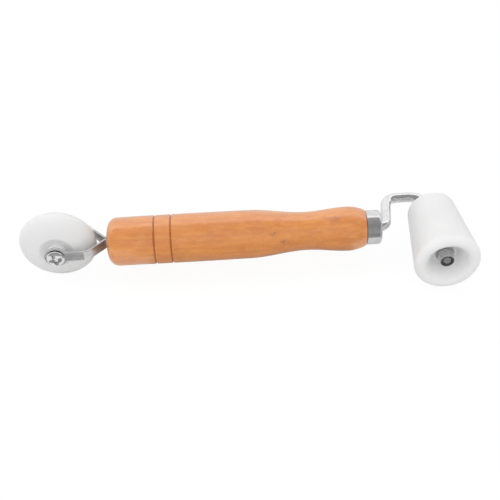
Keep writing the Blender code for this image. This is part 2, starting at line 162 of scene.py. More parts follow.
# Threads and M4 hardware
THREAD_RADIUS = 2.0 * MM
THREAD_PITCH = 0.7 * MM
THREAD_DEPTH = 0.38 * MM
THREAD_CHAMFER = 0.4 * MM
THREAD_FLANK_SLOPE = 1.35  # this and the crest are shares of the depth
THREAD_CREST = 0.15
THREAD_ROWS = 9  # a pitch
THREAD_INSET = 0.15 * MM  # from the roller's nut back to the rod's end
HEAD_RADIUS = tall_radius("wheel_axle_screw")
HEAD_HEIGHT = 2.4 * MM
HEAD_SKIRT = 0.4 * MM
DOME_POWER = 0.8  # under 1, the head is squarer than an ellipse
DOME_STATIONS = 26
CROSS_REACH = 3.5 * MM
CROSS_HALF_WIDTH = 0.8 * MM
CROSS_DEPTH = 2.6 * MM
CROSS_TURN = math.radians(12)
CROSS_CORNER = 1.35  # where two wings meet, in half widths out
CROSS_ABOVE = (1.15, 1.2)  # the punch's reach and width 1 mm above the head, as shares
CROSS_BELOW = (0.6, 0.75)  # the same near its foot
WASHER_RADIUS = tall_radius("cone_nut_washer")
WASHER_THICKNESS = 0.8 * MM
WASHER_HOLE = 2.15 * MM
WASHER_EDGE = 0.2 * MM
THIN_WASHER_EDGE = 0.12 * MM
RING_FIT = 0.05 * MM
NUT_HALF_FLATS = 3.5 * MM
NUT_HEX_HEIGHT = 3.3 * MM
NUT_HEIGHT = 5.0 * MM
NUT_COLLAR_RADIUS = 3.4 * MM
NUT_CHAMFER = 0.36 * MM
NUT_SHOULDER_RADIUS = NUT_HALF_FLATS * 0.985
NYLON_RADIUS = tall_radius("cone_nut_nylon_ring")
NYLON_HEIGHT = 1.2 * MM
NYLON_SINK = 0.25 * MM

# Convex wheel
WHEEL_RADIUS = tall_radius("convex_wheel")
WHEEL_HALF_AXIS = 7.7 * MM
HUB_HALF_LENGTH = span("convex_wheel", WHEEL_AXLE)[1]
HUB_RADIUS = 4.7 * MM
SLEEVE_RADIUS = tall_radius("wheel_axle_sleeve")
RUNNING_PLAY = 0.15 * MM
DISH_RIM_HEIGHT = 6.85 * MM
DISH_FLOOR_HEIGHT = 5.4 * MM
DISH_FLOOR_RADIUS = 5.6 * MM
DISH_RIM_ROUND = 0.84 * MM
TREAD_STATIONS = 97
TREAD_JOIN = 8  # the station where the dish's rim meets the tread

# Cranked rod: its corners are (x along the grip, y behind the grip's axis)
ROD_START = low("roller_rod").x - GRIP_START.x
ROD_BACK_Y = high("roller_rod").y - GRIP_START.y - ROD_RADIUS
CONE_X = CONE_AXLE.x - GRIP_START.x
ROD_CORNERS = ((134.9 * MM, 0.0), (138.25 * MM, ROD_BACK_Y), (CONE_X, ROD_BACK_Y))
ROD_BENDS = (4.6 * MM, 6.3 * MM, 9.6 * MM)
STOP_COLLAR_RADIUS = 4.2 * MM
STOP_COLLAR_WIDTH = 0.9 * MM
SIDE_PLAY = 0.25 * MM

# Tapered roller: heights are counted towards the front
CONE_BACK, CONE_FRONT = span("cone_roller", CONE_AXLE)
CONE_BACK_RADIUS = 11.55 * MM
CONE_FRONT_RADIUS = 15.75 * MM
CONE_BACK_ROUND = 2.0 * MM
CONE_FRONT_ROUND = 2.8 * MM
FLARE_RADIUS = 11.1 * MM
FLARE_ROUND = 3.0 * MM
RECESS_LIP_RADIUS = 9.2 * MM
RECESS_LIP = 27.2 * MM
RECESS_LIP_ROUND = 2.0 * MM
RECESS_FLOOR_RADIUS = 5.8 * MM
RECESS_FLOOR_ROUND = 0.7 * MM
RECESS_FLOOR = 21.1 * MM

# Fineness
ARC_STEP = math.radians(7.5)
SHARP_ANGLE = math.radians(34)
AROUND_BIG = 160
AROUND_ROD = 64
AROUND_SMALL = 120
AROUND_THREAD = 72
WELD = 1e-7


# ---------------------------------------------------------------- outlines


def rounded(corners, radii):
    """The path through corners, with each corner turned as an arc of its own radius."""
    points = []
    count = len(corners)
    for i, (corner, radius) in enumerate(zip(corners, radii)):
        corner = Vector(corner)
        if radius == 0:
            points.append(corner)
            continue
        back = (Vector(corners[i - 1]) - corner).normalized()
        ahead = (Vector(corners[(i + 1) % count]) - corner).normalized()
        half = math.acos(max(-1.0, min(1.0, back.dot(ahead)))) / 2
        centre = corner + (back + ahead).normalized() * (radius / math.sin(half))
        spoke = corner + back * (radius / math.tan(half)) - centre
        turn = math.pi - 2 * half
        if back.y * ahead.x - back.x * ahead.y < 0:
            turn = -turn
        steps = max(3, math.ceil(abs(turn) / ARC_STEP))
        for step in range(steps + 1):
            points.append(centre + Matrix.Rotation(turn * step / steps, 2) @ spoke)
    return points


def refined(path, longest, closed=False):
    """The path with points added, so that no stretch is longer than longest."""
    path = [Vector(point) for point in path]
    ends = path[1:] + path[:1] if closed else path[1:]
    points = []
    for start, end in zip(path, ends):
        steps = max(1, math.ceil((end - start).length / longest))
        points += [start.lerp(end, step / steps) for step in range(steps)]
    return points if closed else points + [path[-1]]


def stations(start, end, count):
    """Evenly spaced values from start to end, both included."""
    return [start + (end - start) * i / (count - 1) for i in range(count)]


def ease(start, end, share):
    """A value that leaves start and reaches end with no slope."""
    return start + (end - start) * (1 - math.cos(math.pi * share)) / 2


def arc(centre, radius, start, end):
    """Points round a centre from one angle to another."""
    steps = max(3, math.ceil(abs(end - start) / ARC_STEP))
    spokes = [(radius * math.cos(a), radius * math.sin(a)) for a in stations(start, end, steps + 1)]
    return [Vector((centre[0] + x, centre[1] + y)) for x, y in spokes]


# ---------------------------------------------------------------- mesh work


class Spine:
    """A level path that pieces are bent along: a point on it, and the way across it."""

    def __init__(self, path):
        self.path = [Vector(point) for point in path]
        self.reach = [0.0]
        for start, end in zip(self.path, self.path[1:]):
            self.reach.append(self.reach[-1] + (end - start).length)
        self.length = self.reach[-1]

    def tangent(self, i):
        first = self.path[max(i - 1, 0)]
        last = self.path[min(i + 1, len(self.path) - 1)]
        return (last - first).normalized()

    def __call__(self, along, across, upward):
        i = 0
        while i < len(self.path) - 2 and along > self.reach[i + 1]:
            i += 1
        share = (along - self.reach[i]) / (self.reach[i + 1] - self.reach[i])
        point = self.path[i] + (self.path[i + 1] - self.path[i]) * share
        way = self.tangent(i).lerp(self.tangent(i + 1), min(1.0, max(0.0, share))).normalized()
        return Vector((point.x - way.y * across, point.y + way.x * across, upward))


def straight(along, across, upward):
    return Vector((across, upward, along))


def loft(profile, around, spine=straight, reshape=None):
    """A ring of points for each (height, radius), or one point where it is on the axis. A
    profile that doesn't start on the axis closes on itself, as the section of a ring."""
    shape = bmesh.new()
    own = shape.verts.layers.float_vector.new("own")
    rings = []
    for height, radius in profile:
        ring = []
        for i in range(around if radius > 0 else 1):
            angle = 2 * math.pi * i / around
            out = reshape(height, radius, angle) if reshape else radius
            a, b = out * math.cos(angle), out * math.sin(angle)
            vertex = shape.verts.new(spine(height, a, b))
            vertex[own] = Vector((a, b, height)) / MM
            ring.append(vertex)
        rings.append(ring)
    following = rings[1:] + rings[:1] if profile[0][1] > 0 else rings[1:]
    for one, other in zip(rings, following):
        for i in range(around):
            corners = (one[i % len(one)], other[i % len(other)])
            corners += (other[(i + 1) % around % len(other)], one[(i + 1) % around % len(one)])
            corners = tuple(dict.fromkeys(corners))
            if len(corners) > 2:
                shape.faces.new(corners)
    bmesh.ops.recalc_face_normals(shape, faces=shape.faces)
    return shape


def as_mesh(name, shape):
    mesh = bpy.data.meshes.new(name)
    shape.to_mesh(mesh)
    shape.free()
    return mesh


def evaluated(obj):
    """The object's mesh with its modifiers applied. The object is removed."""
    bpy.context.view_layer.update()
    graph = bpy.context.evaluated_depsgraph_get()
    final = obj.evaluated_get(graph)
    mesh = bpy.data.meshes.new_from_object(final, preserve_all_data_layers=True, depsgraph=graph)
    bpy.data.objects.remove(obj)
    return mesh


def helper(name, data):
    obj = bpy.data.objects.new(name, data)
    bpy.context.scene.collection.objects.link(obj)
    return obj


def cut(mesh, *tools):
    """The mesh less the tool shapes."""
    body = helper(mesh.name, mesh)
    cutters = []
    for i, tool in enumerate(tools):
        cutters.append(helper(f"{mesh.name}_cutter_{i}", as_mesh("cutter", tool)))
    for cutter in cutters:
        boolean = body.modifiers.new(cutter.name, "BOOLEAN")
        boolean.operation = "DIFFERENCE"
        boolean.object = cutter
    result = evaluated(body)
    for cutter in cutters:
        bpy.data.objects.remove(cutter)
    return result


def axle_frame(origin, pointing):
    """Takes a piece's local Z axis to the given direction through origin."""
    turn = UP.rotation_difference(pointing).to_matrix().to_4x4()
    return Matrix.Translation(origin) @ turn


def show(name, mesh, place, look, body, node):
    """Places a finished mesh in the frame, where it stands for a CAD node."""
    mesh.name = name
    mesh.transform(place)
    mesh.materials.clear()
    mesh.materials.append(look)
    mesh.shade_smooth()
    mesh.set_sharp_from_angle(angle=SHARP_ANGLE)
    obj = helper(name, mesh)
    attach(obj, body)
    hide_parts(node)
    return obj


# ---------------------------------------------------------------- looks


class Nodes:
    """A node tree, with one short call for each kind of node that the script shares."""

    def __init__(self, tree):
        self.tree = tree

    def add(self, kind, inputs=None, **settings):
        node = self.tree.nodes.new(kind)
        for name, value in settings.items():
            setattr(node, name, value)
        for name, value in (inputs or {}).items():
            self.feed(node.inputs[name], value)
        return node

    def feed(self, socket, value):
        if isinstance(value, bpy.types.NodeSocket):
            self.tree.links.new(value, socket)
        else:
            socket.default_value = value

    def math(self, operation, a, b=0.0):
        return self.add("ShaderNodeMath", {0: a, 1: b}, operation=operation).outputs[0]

    def part(self, vector, axis):
        return self.add("ShaderNodeSeparateXYZ", {0: vector}).outputs[axis]

    def shared(self, share, one, other):
        """A mix of two shaders."""
        inputs = {0: share, 1: one.outputs[0], 2: other.outputs[0]}
        return self.add("ShaderNodeMixShader", inputs)

    def surface(self, output, shader):
        self.feed(self.tree.nodes[output].inputs["Surface"], shader.outputs[0])


class Look(Nodes):
    """A material round one Principled shader."""

    def __init__(self, name):
        self.material = bpy.data.materials.new(name)
        self.material.use_nodes = True
        super().__init__(self.material.node_tree)
        self.shader = self.tree.nodes["Principled BSDF"]

    @functools.cached_property
    def own(self):
        return self.add("ShaderNodeAttribute", attribute_name="own").outputs["Vector"]

    def set(self, **inputs):
        for name, value in inputs.items():
            self.feed(self.shader.inputs[name.replace("_", " ")], value)

    def vector_math(self, operation, *inputs):
        return self.add("ShaderNodeVectorMath", dict(enumerate(inputs)), operation=operation)

    def stretched(self, vector, scale):
        return self.vector_math("MULTIPLY", vector, scale).outputs[0]

    def moved(self, vector, offset):
        return self.vector_math("ADD", vector, offset).outputs[0]

    def length(self, vector):
        return self.vector_math("LENGTH", vector).outputs["Value"]

    def height(self):
        """Distance along the piece's axis, in millimetres."""
        return self.part(self.own, "Z")

    def radius(self):
        """Distance from the piece's axis, in millimetres."""
        return self.length(self.stretched(self.own, (1, 1, 0)))

    def turned(self):
        """A pattern's place on a turned piece: its distance from the axis, and along it."""
        return self.add("ShaderNodeCombineXYZ", {0: self.radius(), 1: self.height()}).outputs[0]

    def noise(self, vector, scale=1.0, detail=2.0, roughness=0.5, distortion=0.0):
        inputs = {"Vector": vector, "Scale": scale, "Detail": detail, "Roughness": roughness}
        inputs["Distortion"] = distortion
        return self.add("ShaderNodeTexNoise", inputs).outputs["Fac"]

    def level(self, value, start, end, low=0.0, high=1.0):
        """Maps start..end to low..high with soft ends."""
        inputs = {"Value": value, "From Min": start, "From Max": end, "To Min": low, "To Max": high}
        return self.add("ShaderNodeMapRange", inputs, interpolation_type="SMOOTHSTEP").outputs[0]

    def mix(self, share, a, b):
        node = self.add("ShaderNodeMix", data_type="RGBA")
        for index, value in ((0, share), (6, a), (7, b)):
            self.feed(node.inputs[index], value)
        return node.outputs[2]

    def bump(self, height, distance, strength=1.0, normal=None):
        inputs = {"Height": height, "Distance": distance, "Strength": strength}
        if normal is not None:
            inputs["Normal"] = normal
        return self.add("ShaderNodeBump", inputs).outputs[0]


def colour(red, green, blue):
    return (red, green, blue, 1.0)


def grey(level):
    return colour(level, level, level)


def darker(tint, share):
    return colour(*(c * share for c in tint[:3]))


def varnished_beech():
    """Mottled beech under a clear gloss varnish, with two burnt grooves."""
    look = Look("varnished_beech")
    own = look.own
    drift = look.noise(look.stretched(own, (0.06, 0.06, 0.010)), detail=3)

    rings_from = look.moved(look.stretched(own, (1, 1, 0.03)), (34.0, -19.0, 0.0))
    ring_place = look.math("ADD", look.length(rings_from), look.math("MULTIPLY", drift, 7.0))
    ring = look.math("FRACT", look.math("MULTIPLY", ring_place, 0.36))
    late_wood = look.level(ring, 0.55, 1.0)

    cloud = look.noise(look.stretched(own, (0.16, 0.16, 0.05)), detail=3)
    patch = look.noise(look.stretched(own, (0.55, 0.55, 0.16)), detail=3, distortion=0.5)
    fibre = look.noise(look.stretched(own, (3.2, 3.2, 0.16)), detail=3, roughness=0.6)
    fleck = look.noise(look.stretched(own, (2.0, 2.0, 0.42)), detail=1.5, distortion=0.3)
    fleck_mask = look.level(fleck, 0.62, 0.72)

    pale, deep = colour(0.80, 0.260, 0.013), colour(0.70, 0.205, 0.008)
    base = look.mix(look.level(cloud, 0.35, 0.65), pale, deep)
    base = look.mix(look.level(patch, 0.45, 0.70, 0.0, 0.45), base, colour(0.88, 0.345, 0.038))
    base = look.mix(look.math("MULTIPLY", late_wood, 0.18), base, colour(0.52, 0.160, 0.032))
    base = look.mix(look.level(fibre, 0.40, 0.75, 0.0, 0.30), base, colour(0.50, 0.160, 0.034))
    base = look.mix(look.math("MULTIPLY", fleck_mask, 0.45), base, colour(0.42, 0.110, 0.030))

    # pin knots: loose swirls of darker flecks
    speckle = look.level(look.noise(own, 1.1, detail=2, distortion=0.8), 0.40, 0.58, 0.15, 1.0)
    curl = look.noise(look.stretched(own, (0.9, 0.9, 0.6)), detail=2, distortion=1.2)
    for centre, size, depth in PIN_KNOTS:
        away = look.length(look.stretched(look.moved(own, [-c for c in centre]), (1, 1, 0.7)))
        reach = look.math("ADD", away, look.math("MULTIPLY", curl, size))
        near = look.level(reach, size * 0.6, size * 1.6, depth, 0.0)
        base = look.mix(look.math("MULTIPLY", near, speckle), base, colour(0.32, 0.085, 0.045))

    # end grain drinks more stain
    lean = look.part(look.add("ShaderNodeNewGeometry").outputs["Normal"], "X")
    end_grain = look.level(look.math("ABSOLUTE", lean), 0.75, 1.0, 0.0, 0.45)
    base = look.mix(end_grain, base, colour(0.38, 0.13, 0.035))

    # the grooves are burnt in, with uneven edges
    burn = 0.0
    for groove in GROOVES_X:
        gap = look.math("ABSOLUTE", look.math("SUBTRACT", look.height(), groove / MM))
        scorch = look.noise(look.stretched(own, (1, 1, 0.4)), 0.9)
        edge = look.math("ADD", gap, look.math("MULTIPLY", scorch, 0.3))
        burn = look.math("MAXIMUM", burn, look.level(edge, 0.30, 0.80, 1.0, 0.0))
    base = look.mix(look.math("MULTIPLY", burn, 0.65), base, colour(0.28, 0.065, 0.012))

    smear = look.noise(own, 0.11, detail=3)
    peel = look.noise(own, 0.9, detail=1)
    pores = look.bump(look.math("SUBTRACT", 1.0, fleck_mask), 0.03 * MM, 0.5)
    skin = look.bump(peel, 0.03 * MM, 0.4, look.bump(smear, 0.25 * MM, 0.4))
    look.set(
        Base_Color=base,
        Roughness=look.level(smear, 0.3, 0.7, 0.42, 0.52),
        Normal=look.bump(fibre, 0.02 * MM, 0.4, pores),
        Coat_Weight=look.math("SUBTRACT", 0.95, look.math("MULTIPLY", burn, 0.4)),
        Coat_IOR=2.1,
        Coat_Roughness=look.level(smear, 0.3, 0.7, 0.22, 0.34),
        Coat_Normal=skin,
    )
    return look.material


def white_plastic(name, tint, wear_start, wear_end):
    """Satin white nylon: slightly see-deep, with faint turning lines and rubbed marks."""
    look = Look(name)
    own = look.own
    lines = look.noise(look.turned(), 2.6, detail=2)
    mottle = look.noise(own, 0.12, detail=3)
    rubbed = look.noise(look.stretched(own, (0.5, 0.5, 2.4)), 0.8, detail=4, roughness=0.7)
    worn = look.level(look.radius(), wear_start, wear_end)
    wear = look.level(worn, 0.0, 1.0, 0.10, 0.55)
    marks = look.math("MULTIPLY", look.level(rubbed, 0.56, 0.74), wear)
    sheen = look.level(mottle, 0.3, 0.7, 0.36, 0.44)
    base = look.mix(look.level(mottle, 0.3, 0.7), tint, darker(tint, 0.975))
    base = look.mix(look.math("MULTIPLY", marks, 0.16), base, colour(0.52, 0.50, 0.46))
    look.set(
        Base_Color=base,
        Roughness=look.math("ADD", sheen, look.math("MULTIPLY", marks, 0.12)),
        Subsurface_Weight=0.6,
        Subsurface_Radius=(1.0, 0.97, 0.94),
        Subsurface_Scale=3.5 * MM,
        IOR=1.5,
        Normal=look.bump(lines, 0.012 * MM, 0.35, look.bump(rubbed, 0.02 * MM, 0.15)),
    )
    return look.material


def plated_steel(name, tint, roughness, grain, scratch=0.5, nicked=0.35, grime_and_shade=None):
    """Bright plated steel. The grain stretches the tool lines: small values run lengthwise.
    The last argument is a dark band: own axis, middle, half length (both in millimetres) and
    strength. In the fork's throat and round the screw's skirt it is painted shade."""
    look = Look(name)
    own = look.own
    lines = look.noise(look.stretched(own, grain), 1.0, detail=3, roughness=0.6)
    smudge = look.noise(own, 0.35, detail=4, roughness=0.6)
    nicks = look.noise(look.stretched(own, (2.5, 0.4, 1.7)), 2.2, detail=2, distortion=0.8)
    nick_mask = look.level(nicks, 0.66, 0.76)
    dull = look.mix(look.level(smudge, 0.35, 0.7), tint, darker(tint, 0.88))
    base = look.mix(look.math("MULTIPLY", nick_mask, nicked), dull, colour(0.36, 0.36, 0.37))
    if grime_and_shade:
        axis, middle, half, strength = grime_and_shade
        # a darker band along the piece: painted shade where it lies in the fork's throat and round
        # the screw's skirt
        away = look.math("ABSOLUTE", look.math("SUBTRACT", look.part(own, axis), middle))
        dirt_and_shade = look.level(away, half * 0.7, half * 1.3, strength, 0.0)
        base = look.mix(dirt_and_shade, base, colour(0.09, 0.09, 0.095))
        nick_mask = look.math("ADD", nick_mask, dirt_and_shade)
    sheen = look.level(smudge, 0.3, 0.75, roughness * 0.7, roughness * 1.35)
    look.set(
        Base_Color=base,
        Metallic=1.0,
        Roughness=look.math("ADD", sheen, look.math("MULTIPLY", nick_mask, 0.25)),
        Normal=look.bump(lines, 0.01 * MM, scratch),
    )
    return look.material


def turned_steel(name, tint, roughness):
    """Plated steel with circular tool lines round the piece's own axis."""
    look = Look(name)
    own = look.own
    lines = look.noise(look.turned(), 7.0, detail=2)
    smudge = look.noise(own, 0.8, detail=4, roughness=0.65)
    grime_and_shade = look.noise(own, 2.1, detail=3)
    base = look.mix(look.level(smudge, 0.35, 0.7), tint, darker(tint, 0.84))
    base = look.mix(look.level(grime_and_shade, 0.6, 0.8, 0.0, 0.35), base, colour(0.27, 0.26, 0.25))
    look.set(
        Base_Color=base,
        Metallic=1.0,
        Roughness=look.level(smudge, 0.3, 0.75, roughness * 0.75, roughness * 1.4),
        Normal=look.bump(lines, 0.01 * MM, 0.5),
    )
    return look.material


def dark_nylon(name):
    look = Look(name)
    speckle = look.noise(look.own, 2.4, detail=4)
    deep, pale = colour(0.030, 0.031, 0.036), colour(0.065, 0.067, 0.074)
    base = look.mix(look.level(speckle, 0.35, 0.7), deep, pale)
    look.set(
        Base_Color=base,
        Roughness=look.level(speckle, 0.3, 0.7, 0.38, 0.55),
        Normal=look.bump(speckle, 0.03 * MM, 0.4),
    )
    return look.material


# Pin knots in the grip's surface: place in its own coordinates and size, both in millimetres,
# and how dark they are
PIN_KNOTS = (
    ((-6.2, -8.6, 79.6), 1.8, 0.75),
    ((-2.5, -10.0, 84.1), 1.5, 0.85),
    ((-9.2, -3.7, 109.1), 2.6, 0.5),
    ((-9.4, -2.0, 104.5), 1.6, 0.4),
)


# ---------------------------------------------------------------- the grip end


def grip_radius(x):
    """Radius of the grip at x: barrel, waist, bulge and nose."""
    if x < BARREL_END:
        share = (x - BARREL_MIDDLE) / (BARREL_END - BARREL_MIDDLE)
        return BARREL_RADIUS - BARREL_CROWN * share**2
    if x < WAIST_X:
        share = (x - BARREL_END) / (WAIST_X - BARREL_END)
        return ease(BARREL_RADIUS - BARREL_CROWN, WAIST_RADIUS, share)
    if x < BULGE_X:
        return ease(WAIST_RADIUS, BULGE_RADIUS, (x - WAIST_X) / (BULGE_X - WAIST_X))
    return BULGE_RADIUS - NOSE_ROUND + math.sqrt(NOSE_ROUND**2 - (x - BULGE_X) ** 2)


def groove_outline(x):
    """One V groove with rounded lips and root, towards the fork end."""
    radius = grip_radius(x)
    lead = GROOVE_HALF_WIDTH + GROOVE_LIP_ROUND
    corners = [
        (x + lead, radius),
        (x + GROOVE_HALF_WIDTH, radius),
        (x, radius - GROOVE_DEPTH),
        (x - GROOVE_HALF_WIDTH, radius),
        (x - lead, radius),
    ]
    return rounded(corners, (0, GROOVE_LIP_ROUND, GROOVE_ROOT_ROUND, GROOVE_LIP_ROUND, 0))


def grip_profile():
    """Up the rod's socket, over the spigot, and down the outside to the fork end."""
    socket = GRIP_LENGTH - SOCKET_DEPTH
    spigot_radius = FERRULE_RADIUS - FERRULE_WALL
    inside = [
        (socket, 0),
        (socket, ROD_RADIUS),
        (SPIGOT_END, ROD_RADIUS),
        (SPIGOT_END, spigot_radius),
        (GRIP_LENGTH, spigot_radius),
    ]
    edge = GRIP_LENGTH - 2 * NOSE_EDGE_ROUND
    nose = [
        (GRIP_LENGTH, spigot_radius),
        (GRIP_LENGTH, grip_radius(GRIP_LENGTH)),
        (edge, grip_radius(edge)),
    ]
    outside = rounded(nose, (0, NOSE_EDGE_ROUND, 0))[1:]
    for start, end, count in (
        (GRIP_LENGTH - NOSE_CLEAR, BARREL_END, NOSE_STATIONS),
        (BARREL_END - PROFILE_STEP, GROOVES_X[1] + GROOVE_CLEAR, BARREL_STATIONS),
    ):
        outside += [Vector((x, grip_radius(x))) for x in stations(start, end, count)]
    outside += groove_outline(GROOVES_X[1])
    between = [
        (GROOVES_X[1] - GROOVE_CLEAR, grip_radius(GROOVES_X[1])),
        (GROOVES_X[0] + GROOVE_CLEAR, grip_radius(GROOVES_X[0])),
    ]
    outside += refined(between, PROFILE_STEP)
    outside += groove_outline(GROOVES_X[0])
    butt = [
        (GROOVES_X[0] - GROOVE_CLEAR, grip_radius(GROOVES_X[0])),
        (0, grip_radius(BUTT_ROUND)),
        (0, 0),
    ]
    outside += refined(rounded(butt, (0, BUTT_ROUND, 0)), PROFILE_STEP)
    return inside + outside


def hand_turned(height, radius, angle):
    """The slight unevenness of a grip that was sanded on the lathe."""
    if radius < FERRULE_RADIUS:
        return radius
    wave = sum(math.sin(height * a + around * angle + start) for a, around, start in TURNING_WAVES)
    return radius + TURNING_WAVE * (wave / 2 - 1)


def block(half_width, half_height, start, end):
    """A block along Z, as a cutter."""
    shape = bmesh.new()
    bmesh.ops.create_cube(shape, size=2.0)
    for vertex in shape.verts:
        place = start if vertex.co.z < 0 else end
        vertex.co = Vector((vertex.co.x * half_height, vertex.co.y * half_width, place))
    return shape


def build_grip():
    mesh = as_mesh("grip", loft(grip_profile(), AROUND_BIG, reshape=hand_turned))
    half_width = TANG_Y + STRIP_THICKNESS / 2 + SLOT_CLEARANCE
    half_height = STRIP_HALF_WIDTH + SLOT_CLEARANCE
    outside = -1 * MM
    mesh = cut(mesh, block(half_width, half_height, outside, TANG_END))
    place = axle_frame(GRIP_START, ALONG_GRIP)
    show("turned_grip", mesh, place, varnished_beech(), "handle_frame", "handle")


def build_ferrule():
    corners = [
        (FERRULE_END, FERRULE_HOLE),
        (FERRULE_END, FERRULE_RADIUS),
        (FERRULE_START, FERRULE_RADIUS),
        (FERRULE_START, FERRULE_RADIUS - FERRULE_WALL),
        (FERRULE_END - FERRULE_WALL, FERRULE_RADIUS - FERRULE_WALL),
        (FERRULE_END - FERRULE_WALL, FERRULE_HOLE),
    ]
    radii = (0.15 * MM, FERRULE_ROUND, FERRULE_RIM_ROUND, 0.1 * MM, 0.3 * MM, 0)
    profile = refined(rounded(corners, radii), 0.5 * MM, closed=True)
    mesh = as_mesh("ferrule_cap", loft(profile, AROUND_BIG))
    look = plated_steel("ferrule_steel", colour(0.69, 0.69, 0.70), 0.17, (0.6, 0.6, 9.0))
    place = axle_frame(GRIP_START, ALONG_GRIP)
    show("drawn_ferrule", mesh, place, look, "handle_frame", "ferrule")


# ---------------------------------------------------------------- the fork


def strip_outline(length):
    """The flat strip with its eye round the start, as a closed outline."""
    reach = EYE_RADIUS + EYE_FILLET
    rise = STRIP_HALF_WIDTH + EYE_FILLET
    run = math.sqrt(reach**2 - rise**2)
    tangent = math.atan2(rise, run)
    half = [Vector((length, STRIP_HALF_WIDTH))]
    half += arc((run, rise), EYE_FILLET, -math.pi / 2, tangent - math.pi)
    half += arc((0, 0), EYE_RADIUS, tangent, math.pi)[1:]
    return half + [Vector((point.x, -point.y)) for point in reversed(half[:-1])]


def flat_strip(length):
    """The strip before it is bent: a filled outline with rounded edges and a hole."""
    curve = bpy.data.curves.new("strip", "CURVE")
    curve.dimensions = "2D"
    curve.fill_mode = "BOTH"
    curve.extrude = STRIP_THICKNESS / 2 - STRIP_EDGE
    curve.bevel_depth = STRIP_EDGE
    curve.bevel_resolution = 3
    curve.offset = -STRIP_EDGE
    hole = arc((0, 0), WASHER_HOLE, 0, 2 * math.pi)[:-1]
    for outline in (strip_outline(length), hole):
        line = curve.splines.new("POLY")
        line.points.add(len(outline) - 1)
        line.use_cyclic_u = True
        for point, place in zip(line.points, outline):
            point.co = (place.x, place.y, 0, 1)
    mesh = evaluated(helper("strip", curve))
    shape = bmesh.new()
    shape.from_mesh(mesh)
    bmesh.ops.remove_doubles(shape, verts=shape.verts, dist=WELD)
    return shape


def build_fork_arm(name, node, side):
    """One strip; side is -1 for the front one and +1 for the rear one."""
    strip_y = WHEEL_Y + side * FORK_HALF_GAP
    shoulder_x = FORK_THROAT_X - (abs(strip_y) - TANG_Y) / math.tan(FORK_SPLAY)
    corners = [
        (WHEEL_X, strip_y),
        (shoulder_x, strip_y),
        (FORK_THROAT_X, side * TANG_Y),
        (TANG_END, side * TANG_Y),
    ]
    path = rounded(corners, (0, FORK_SHOULDER_ROUND, FORK_THROAT_ROUND, 0))
    spine = Spine(path)
    shape = flat_strip(spine.length)
    for reach in spine.reach[1:-1]:
        geometry = shape.verts[:] + shape.edges[:] + shape.faces[:]
        bmesh.ops.bisect_plane(shape, geom=geometry, plane_co=(reach, 0, 0), plane_no=(1, 0, 0))
    own = shape.verts.layers.float_vector.new("own")
    for vertex in shape.verts:
        along, upward, across = vertex.co
        vertex[own] = vertex.co / MM
        vertex.co = spine(along, across, upward)
    bmesh.ops.recalc_face_normals(shape, faces=shape.faces)
    # the dark band at the throat, where the arm runs into the grip, is painted shade and the painted
    # reflection of the grip's shaded end
    throat = (spine.length - TANG_END + FORK_THROAT_X) / MM - 3
    look = plated_steel(
        name + "_steel",
        grey(0.73),
        roughness=0.25,
        grain=(0.12, 4.0, 4.0),
        scratch=0.25,
        nicked=0.10,
        grime_and_shade=("X", throat, 5.0, 0.35),
    )
    place = Matrix.Translation(GRIP_START)
    arm = show(name, as_mesh(name, shape), place, look, "handle_frame", node)
    weight = arm.modifiers.new("flat faces stay flat", "WEIGHTED_NORMAL")
    weight.keep_sharp = True


# ---------------------------------------------------------------- threads and hardware


def threaded(start, end):
    """Cuts a helical thread into rows at the thread's radius, from start to end."""

    def reshape(height, radius, angle):
        if abs(radius - THREAD_RADIUS) > 0.01 * MM or not start <= height <= end:
            return radius
        turn = (height / THREAD_PITCH + angle / (2 * math.pi)) % 1.0
        flank = THREAD_FLANK_SLOPE * abs(2 * turn - 1) - THREAD_CREST
        flank = min(1.0, max(0.0, flank))
        fade = min(1.0, (height - start) / THREAD_PITCH, (end - height) / THREAD_CHAMFER)
        return radius - THREAD_DEPTH * flank * max(0.0, fade)

    return reshape


def thread_rows(start, end):
    return refined([(start, THREAD_RADIUS), (end, THREAD_RADIUS)], THREAD_PITCH / THREAD_ROWS)


def thread_tip(start, end):
    """The chamfer at a thread's free end, and its flat face."""
    tip = [(start, THREAD_RADIUS), (end, THREAD_RADIUS - THREAD_CHAMFER), (end, 0)]
    return refined(tip, 0.2 * MM)[1:]


def cross_punch(top):
    """A four-winged taper, wide at the head's face and pointed at its foot."""
    shape = bmesh.new()
    inner = CROSS_HALF_WIDTH * CROSS_CORNER
    levels = (
        (top + 1 * MM, *CROSS_ABOVE),
        (top, 1.0, 1.0),
        (top - CROSS_DEPTH * 0.8, *CROSS_BELOW),
    )
    rings = []
    for height, reach_share, width_share in levels:
        ring = []
        for quarter in range(4):
            turn = Matrix.Rotation(math.pi / 2 * quarter + CROSS_TURN, 2)
            reach = CROSS_REACH * reach_share
            width = CROSS_HALF_WIDTH * width_share
            corner = inner * width_share
            for place in ((reach, -width), (reach, width), (corner, corner)):
                point = turn @ Vector(place)
                ring.append(shape.verts.new((point.x, point.y, height)))
        rings.append(ring)
    foot = shape.verts.new((0, 0, top - CROSS_DEPTH))
    shape.faces.new(rings[0])
    for one, other in zip(rings, rings[1:]):
        for i in range(len(one)):
            j = (i + 1) % len(one)
            shape.faces.new((one[i], other[i], other[j], one[j]))
    for i in range(len(rings[-1])):
        shape.faces.new((rings[-1][i], foot, rings[-1][(i + 1) % len(rings[-1])]))
    bmesh.ops.recalc_face_normals(shape, faces=shape.faces)
    return shape


